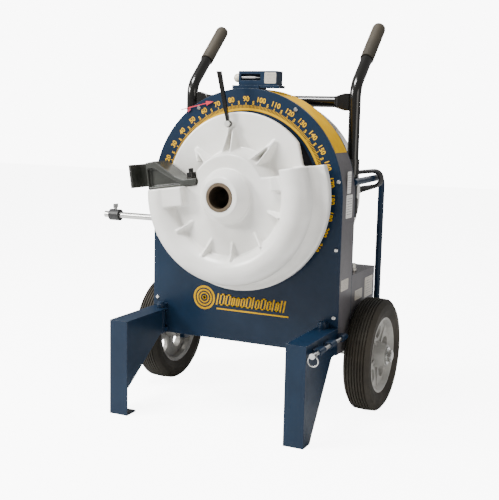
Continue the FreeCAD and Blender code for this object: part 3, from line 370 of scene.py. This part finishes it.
# Painted reflection: the grey glare of the bright surroundings on the right-facing sides is laid into the
# base colour.
glare_greyed_enamel = finish("rim_enamel_painted_glare", (0.10, 0.094, 0.10), (0.075, 0.070, 0.078), (0.34, 0.46), coat=0.05,
                wear=(0.0018, 0.5, 90), wear_colour=(0.22, 0.22, 0.25), dust_and_shade=(0.04, 0.3),
                relief=(60, 420, 0.35), bump=0.12, depth=0.0003, round_edge=0.0015, specular=0.25,
                tone=(3, 0.6))
dress(glare_greyed_enamel, "rim_band", "control_box", "control_cover")

satin_black = finish("satin_black", (0.016, 0.016, 0.018), (0.012, 0.012, 0.014), (0.38, 0.5),
                     wear=(0.001, 0.4, 90), wear_colour=(0.12, 0.12, 0.12), dust_and_shade=(0.03, 0.4), specular=0.3)
dress(satin_black, "bearing_plate", "shaft_spacers")


# ---- dial ----
# The degree scale is printed in yellow straight onto the front plate: an arc, a tick for each
# degree and a number every ten. A yellow strip is stuck round the rim beside it.

dial_yellow = finish("dial_yellow", (0.74, 0.42, 0.0), (0.64, 0.34, 0.0), (0.6, 0.7), relief=(50, 500, 0.5),
                     bump=0.05, dust_and_shade=(0.01, 0.2), dust_and_shade_colour=(0.3, 0.16, 0.02), tone=(22, 1), specular=0.04)
dress(dial_yellow, "degree_scale")
print_proud = 0.0005


def block(build, low, high, place=None):
    """Adds a box between two corners, then places it."""
    made = bmesh.ops.create_cube(build, size=1)["verts"]
    middle, size = (Vector(low) + Vector(high)) / 2, Vector(high) - Vector(low)
    bmesh.ops.transform(build, verts=made, matrix=(place or Matrix()) @ Matrix.Translation(middle)
                        @ Matrix.Diagonal((*size, 1)))
    return made


def dial_turn(reading):
    """Turns something drawn at twelve o'clock to its reading, counted clockwise from nine o'clock."""
    return Matrix.Rotation(math.radians(reading - 90), 4, "Y")


def numeral(build, text, size, radius, reading):
    """Adds a printed number whose foot stands at a radius of the dial."""
    writing = bpy.data.curves.new("number", "FONT")
    writing.body, writing.size, writing.extrude = text, size, print_proud / 2
    writing.offset = 0.0004
    writing.align_x = "CENTER"
    holder = bpy.data.objects.new("number", writing)
    bpy.context.scene.collection.objects.link(holder)
    bpy.context.view_layer.update()
    mesh = bpy.data.meshes.new_from_object(holder.evaluated_get(bpy.context.evaluated_depsgraph_get()))
    mesh.transform(dial_turn(reading) @ Matrix.Translation((0, -print_proud / 2, radius))
                   @ Matrix.Rotation(math.pi / 2, 4, "X"))
    build.from_mesh(mesh)
    bpy.data.objects.remove(holder)
    bpy.data.meshes.remove(mesh)


arc_edge, last_reading = 0.2316, 210
build = bmesh.new()
for reading in range(0, last_reading + 1):
    outer, half = (0.2465, 0.00095) if reading % 10 == 0 else (0.2405, 0.00075)
    block(build, (-half, -print_proud, arc_edge), (half, 0.0, outer), dial_turn(reading))
    if reading % 10 == 5:
        numeral(build, "5", 0.0125, 0.2425, reading)
    if reading % 10 == 0:
        numeral(build, str(reading), 0.0185, 0.2505, reading)
scale_print = link_mesh("scale_print", build, "frame")
scale_print.data.materials.append(dial_yellow)


# ---- front shoe ----
# One casting of aluminium with thick rounded edges, sprayed light grey over its sand-cast skin.
# Conduit wraps into its groove, between the front roll and the flat rear flange.

# Its dust mask darkens every corner and hollow toward a brownish grey: painted shade in the casting's
# recesses.
casting = finish("shoe_paint", (0.86, 0.85, 0.82), (0.74, 0.73, 0.69), (0.28, 0.42), coat=0.35,
                 coat_rough=0.22, wear=(0.003, 0.2, 40), wear_colour=(0.45, 0.43, 0.40), dust_and_shade=(0.06, 0.7),
                 dust_and_shade_colour=(0.33, 0.29, 0.23), relief=(25, 260, 0.55), bump=0.35, depth=0.0008,
                 tone=(5, 1.6))


def copy_merged(node):
    """Closed bmesh copy of a CAD node, its loose triangles merged."""
    build = bmesh.new()
    build.from_mesh(nodes[node].data)
    bmesh.ops.remove_doubles(build, verts=build.verts, dist=0.000005)
    return build


def cast(node, name, body, material, voxel, rounds):
    """Recasts a CAD node with rounded corners and fillets, as a mould leaves them."""
    made = link_mesh(name, copy_merged(node), body)
    remesh = made.modifiers.new("skin", "REMESH")
    remesh.mode, remesh.voxel_size, remesh.adaptivity = "VOXEL", voxel, 0.0
    smooth = made.modifiers.new("fillets", "SMOOTH")
    smooth.factor, smooth.iterations = 0.5, rounds
    bpy.context.view_layer.update()
    mesh = bpy.data.meshes.new_from_object(made.evaluated_get(bpy.context.evaluated_depsgraph_get()))
    made.modifiers.clear()
    made.data = mesh
    mesh.shade_smooth()
    mesh.materials.clear()
    mesh.materials.append(material)
    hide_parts(node)
    return made


cast("front_shoe", "shoe_casting_front", "shoe", casting, 0.0027, 3)
cast("rear_shoe", "shoe_casting_rear", "shoe", casting, 0.0036, 3)


# ---- hook, pointer and handles ----
# The hook is a black-enamelled casting bolted to the shoe, in a rougher, slightly lighter enamel. Pointer,
# handles, brackets and crossbar share a gloss black.

enamel = finish("black_enamel", (0.0075, 0.007, 0.006), (0.005, 0.0047, 0.004), (0.14, 0.26), coat=0.5,
                coat_rough=0.06, wear=(0.0012, 0.5, 110), wear_colour=(0.08, 0.08, 0.075), dust_and_shade=(0.02, 0.3),
                dust_and_shade_colour=(0.05, 0.045, 0.04), relief=(45, 300, 0.4), bump=0.15, depth=0.0004,
                round_edge=0.001, specular=0.35)
hook_enamel = finish("hook_enamel", (0.034, 0.036, 0.030), (0.020, 0.022, 0.018), (0.30, 0.45), coat=0.15,
                     wear=(0.002, 0.6, 60), wear_colour=(0.16, 0.16, 0.14), dust_and_shade=(0.02, 0.4),
                     dust_and_shade_colour=(0.06, 0.055, 0.045), relief=(40, 260, 0.6), bump=0.35, depth=0.0006,
                     tone=(10, 1))
cast("hook", "hook_casting", "shoe", hook_enamel, 0.0016, 3)
cast("crossbar", "crossbar_forging", "frame", enamel, 0.0018, 9)
dress(enamel, "pointer", "handle_tubes", "handle_brackets")


# ---- bright hardware, shaft and gears ----
# Screws, latch bolt, axle and stop rod are zinc-plated steel; the shaft and gears are turned and oiled.
# The stop collar is moulded, the marker is painted, and the wheels run on oiled bronze bushes.

zinc = finish("zinc_plate", (0.62, 0.62, 0.60), (0.50, 0.50, 0.49), (0.22, 0.36), metal=1.0,
              wear=(0.001, 0.5, 80), wear_colour=(0.35, 0.33, 0.30), dust_and_shade=(0.01, 0.5), relief=(80, 700, 0.5),
              bump=0.06)
dress(zinc, "plate_screws", "latch_bolt", "pull_ring", "axle", "stop_rod", "thumb_screw", "level_pin")
oiled = finish("oiled_steel", (0.26, 0.20, 0.14), (0.13, 0.10, 0.07), (0.3, 0.5), metal=0.9,
               relief=(60, 500, 0.6), bump=0.15, tone=(14, 1))
dress(oiled, "main_shaft", "drive_keys", "idler_pin", "drive_gear", "idler_gear", "pinion", "shaft_bearings",
      "gear_motor")
phosphated = finish("black_bolt", (0.020, 0.019, 0.018), (0.012, 0.011, 0.011), (0.32, 0.48), metal=0.6,
                    wear=(0.0012, 0.8, 70), wear_colour=(0.45, 0.43, 0.38), relief=(80, 700, 0.5))
lay_over(phosphated, beyond(phosphated, "X", -0.07, -0.06), (0.62, 0.61, 0.58))
dress(phosphated, "shoe_bolts")
moulded = finish("black_plastic", (0.014, 0.014, 0.015), (0.010, 0.010, 0.011), (0.4, 0.5),
                 relief=(80, 900, 0.8))
dress(moulded, "stop_collar")
bright_knob = finish("knob_metal", (0.66, 0.64, 0.60), (0.50, 0.48, 0.44), (0.2, 0.32), metal=1.0,
                     dust_and_shade=(0.01, 0.4))
dress(bright_knob, "selector_knob")
red = finish("red_paint", (0.56, 0.012, 0.035), (0.46, 0.008, 0.025), (0.4, 0.5), wear=(0.001, 0.4, 100))
lay_over(red, beyond(red, "Y", -0.0037, -0.0034), (0.010, 0.033, 0.092))
dress(red, "target_marker")
cream = finish("cream_plastic", (0.66, 0.60, 0.48), (0.55, 0.50, 0.39), (0.3, 0.4), coat=0.3)
dress(cream, "level_knob")
bronze = finish("oiled_bronze", (0.42, 0.28, 0.11), (0.28, 0.18, 0.07), (0.3, 0.45), metal=1.0)
dress(bronze, "wheel_bushes_left", "wheel_bushes_right", "plug_blades")


# ---- wheels ----
# Semi-pneumatic ribbed rubber tyres on grey-painted cast centres with five spokes, free on one axle.

tyre_rubber = finish("tyre_rubber", (0.034, 0.028, 0.019), (0.018, 0.016, 0.012), (0.6, 0.78),
                     dust_and_shade=(0.006, 0.35), dust_and_shade_colour=(0.10, 0.08, 0.055), relief=(60, 500, 0.6), bump=0.3,
                     specular=0.3, tone=(9, 1))
dress(tyre_rubber, "tyre_left", "tyre_right")
# Its dust mask darkens the corners of the wheel centres strongly: dirt there together with painted corner
# shade.
wheel_grey = finish("wheel_paint", (0.42, 0.41, 0.38), (0.27, 0.265, 0.25), (0.42, 0.55), metal=0.1,
                    dust_and_shade=(0.03, 0.8), dust_and_shade_colour=(0.12, 0.11, 0.10), wear=(0.002, 0.4, 60),
                    relief=(40, 300, 0.5), bump=0.25, tone=(18, 1))
dress(wheel_grey, "rim_left", "rim_right")


# ---- grips ----
# Brown-black rubber grips pushed over the handle ends. Their skin is matt and dusty from use.

grip_rubber = finish("grip_rubber", (0.060, 0.050, 0.036), (0.036, 0.031, 0.023), (0.55, 0.7),
                     dust_and_shade=(0.01, 0.4), dust_and_shade_colour=(0.09, 0.075, 0.05), relief=(150, 900, 0.6), bump=0.35,
                     specular=0.3)
dress(grip_rubber, "grips")


# ---- labels and decal ----
# Printed vinyl labels on the right side of the housing, control box and level, and a yellow
# transfer low on the front plate. Each is a thin sheet with rounded corners; print is plain bars.

def label_finish(name, paper, ink, rows, columns):
    """Vinyl printed with rows of short bars, drawn in the label's own UV square."""
    material = finish(name, paper, tuple(0.93 * value for value in paper), (0.3, 0.4),
                      relief=(60, 600, 0.5), bump=0.04)
    tree = material.node_tree
    across, up = [add(tree, "SeparateXYZ", {0: add(tree, "UVMap").outputs[0]}).outputs[i] for i in (0, 1)]
    line = add(tree, "Math", {0: times(tree, up, rows)}, operation="FRACT").outputs[0]
    under_top = times(tree, 1.0, ramp(tree, line, 0.62, 0.70), "SUBTRACT")
    bars = times(tree, ramp(tree, line, 0.30, 0.38), under_top)
    cell = add(tree, "CombineXYZ", {"X": times(tree, across, columns),
                                    "Y": times(tree, times(tree, up, rows), 3.7)})
    words = add(tree, "TexNoise", {"Vector": cell.outputs[0], "Scale": 1.3, "Detail": 1.0}).outputs["Fac"]
    broken = times(tree, bars, ramp(tree, words, 0.44, 0.50))
    inside = None
    for place in (across, up):
        for low, high in ((0.05, 0.08), (0.95, 0.92)):
            edge = ramp(tree, place, low, high)
            inside = edge if inside is None else times(tree, inside, edge)
    lay_over(material, times(tree, broken, inside), ink)
    return material


def label(name, low, high, facing, body, slot, material):
    """Rounded sheet between two corners of a plane; facing is the axis letter it is read along."""
    low, high = Vector(low), Vector(high)
    middle, size = (low + high) / 2, high - low
    width, height = (size.y, size.z) if facing == "x" else (size.x, size.z)
    build = bmesh.new()
    sheet = bmesh.ops.create_grid(build, x_segments=1, y_segments=1, size=0.5)["verts"]
    bmesh.ops.scale(build, verts=sheet, vec=(width, height, 1))
    bmesh.ops.bevel(build, geom=list(build.verts), offset=0.003, segments=3, profile=0.5, affect="VERTICES",
                    material=-1)
    uv = build.loops.layers.uv.new("UVMap")
    for face in build.faces:
        for corner in face.loops:
            corner[uv].uv = (corner.vert.co.x / width + 0.5, corner.vert.co.y / height + 0.5)
    grown = bmesh.ops.extrude_face_region(build, geom=list(build.faces))["geom"]
    raised = [item for item in grown if isinstance(item, bmesh.types.BMVert)]
    bmesh.ops.translate(build, verts=raised, vec=(0, 0, 0.0003))
    bmesh.ops.recalc_face_normals(build, faces=build.faces)
    upright = Matrix.Rotation(math.pi / 2, 4, "X")
    if facing == "x":
        upright = Matrix.Rotation(math.pi / 2, 4, "Z") @ upright
    bmesh.ops.transform(build, verts=build.verts, matrix=Matrix.Translation(middle) @ upright)
    made = link_mesh(name, build, body)
    made.data.materials.append(material)
    return made


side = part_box("front_plate")[1].x + 0.00005
white_label = label_finish("white_label", (0.78, 0.77, 0.74), (0.10, 0.10, 0.12), 9.0, 7.0)
beige_label = label_finish("beige_label", (0.52, 0.48, 0.41), (0.16, 0.15, 0.14), 8.0, 6.0)
label("warning_label", (side, 0.034, 0.014), (side, 0.062, 0.072), "x", "frame", "rim_paint", white_label)
label("notice_label", (side, 0.030, -0.052), (side, 0.078, 0.010), "x", "frame", "rim_paint", white_label)
label("serial_label", (side, 0.012, -0.246), (side, 0.070, -0.216), "x", "frame", "rim_paint", beige_label)
label("motor_label", (side, 0.214, -0.296), (side, 0.284, -0.238), "x", "frame", "rim_paint", beige_label)
label("switch_label", (side, 0.130, -0.290), (side, 0.192, -0.262), "x", "frame", "rim_paint", beige_label)
level_low, level_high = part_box("level_body")
label("level_label", (0.049, level_low.y - 0.00035, level_low.z + 0.005),
      (0.083, level_low.y - 0.00035, level_high.z - 0.004), "y", "frame", "navy_paint", beige_label)

build = bmesh.new()
chance = random.Random(9)
leaning = Matrix(((1, 0, 0.18, 0), (0, 1, 0, 0), (0, 0, 1, 0), (0, 0, 0, 1)))
at, middle = -0.078, -0.302
while at < 0.136:
    width, top = chance.choice(((0.013, 0.012), (0.011, 0.012), (0.015, 0.017), (0.006, 0.017)))
    place = Matrix.Translation((at, 0, middle)) @ leaning
    block(build, (0, -print_proud, -0.016), (0.0042, 0, top), place)
    if width > 0.006:
        block(build, (width - 0.0042, -print_proud, -0.016), (width, 0, top), place)
        for height in ((-0.016, -0.0125), (top - 0.0035, top)):
            block(build, (0, -print_proud, height[0]), (width, 0, height[1]), place)
    at += width + 0.0035
block(build, (-0.078, -print_proud, -0.3305), (0.142, 0, -0.3265))
for inner, outer in ((0.0, 0.006), (0.011, 0.015), (0.019, 0.024), (0.028, 0.034)):
    for step in range(40):
        start = Matrix.Translation((-0.118, 0, -0.301)) @ Matrix.Rotation(2 * math.pi * step / 40, 4, "Y")
        half = outer * math.tan(math.pi / 40) + 0.00005
        block(build, (-half, -print_proud, inner), (half, 0, outer), start)
decal = link_mesh("front_transfer", build, "frame")
decal.data.materials.append(dial_yellow)
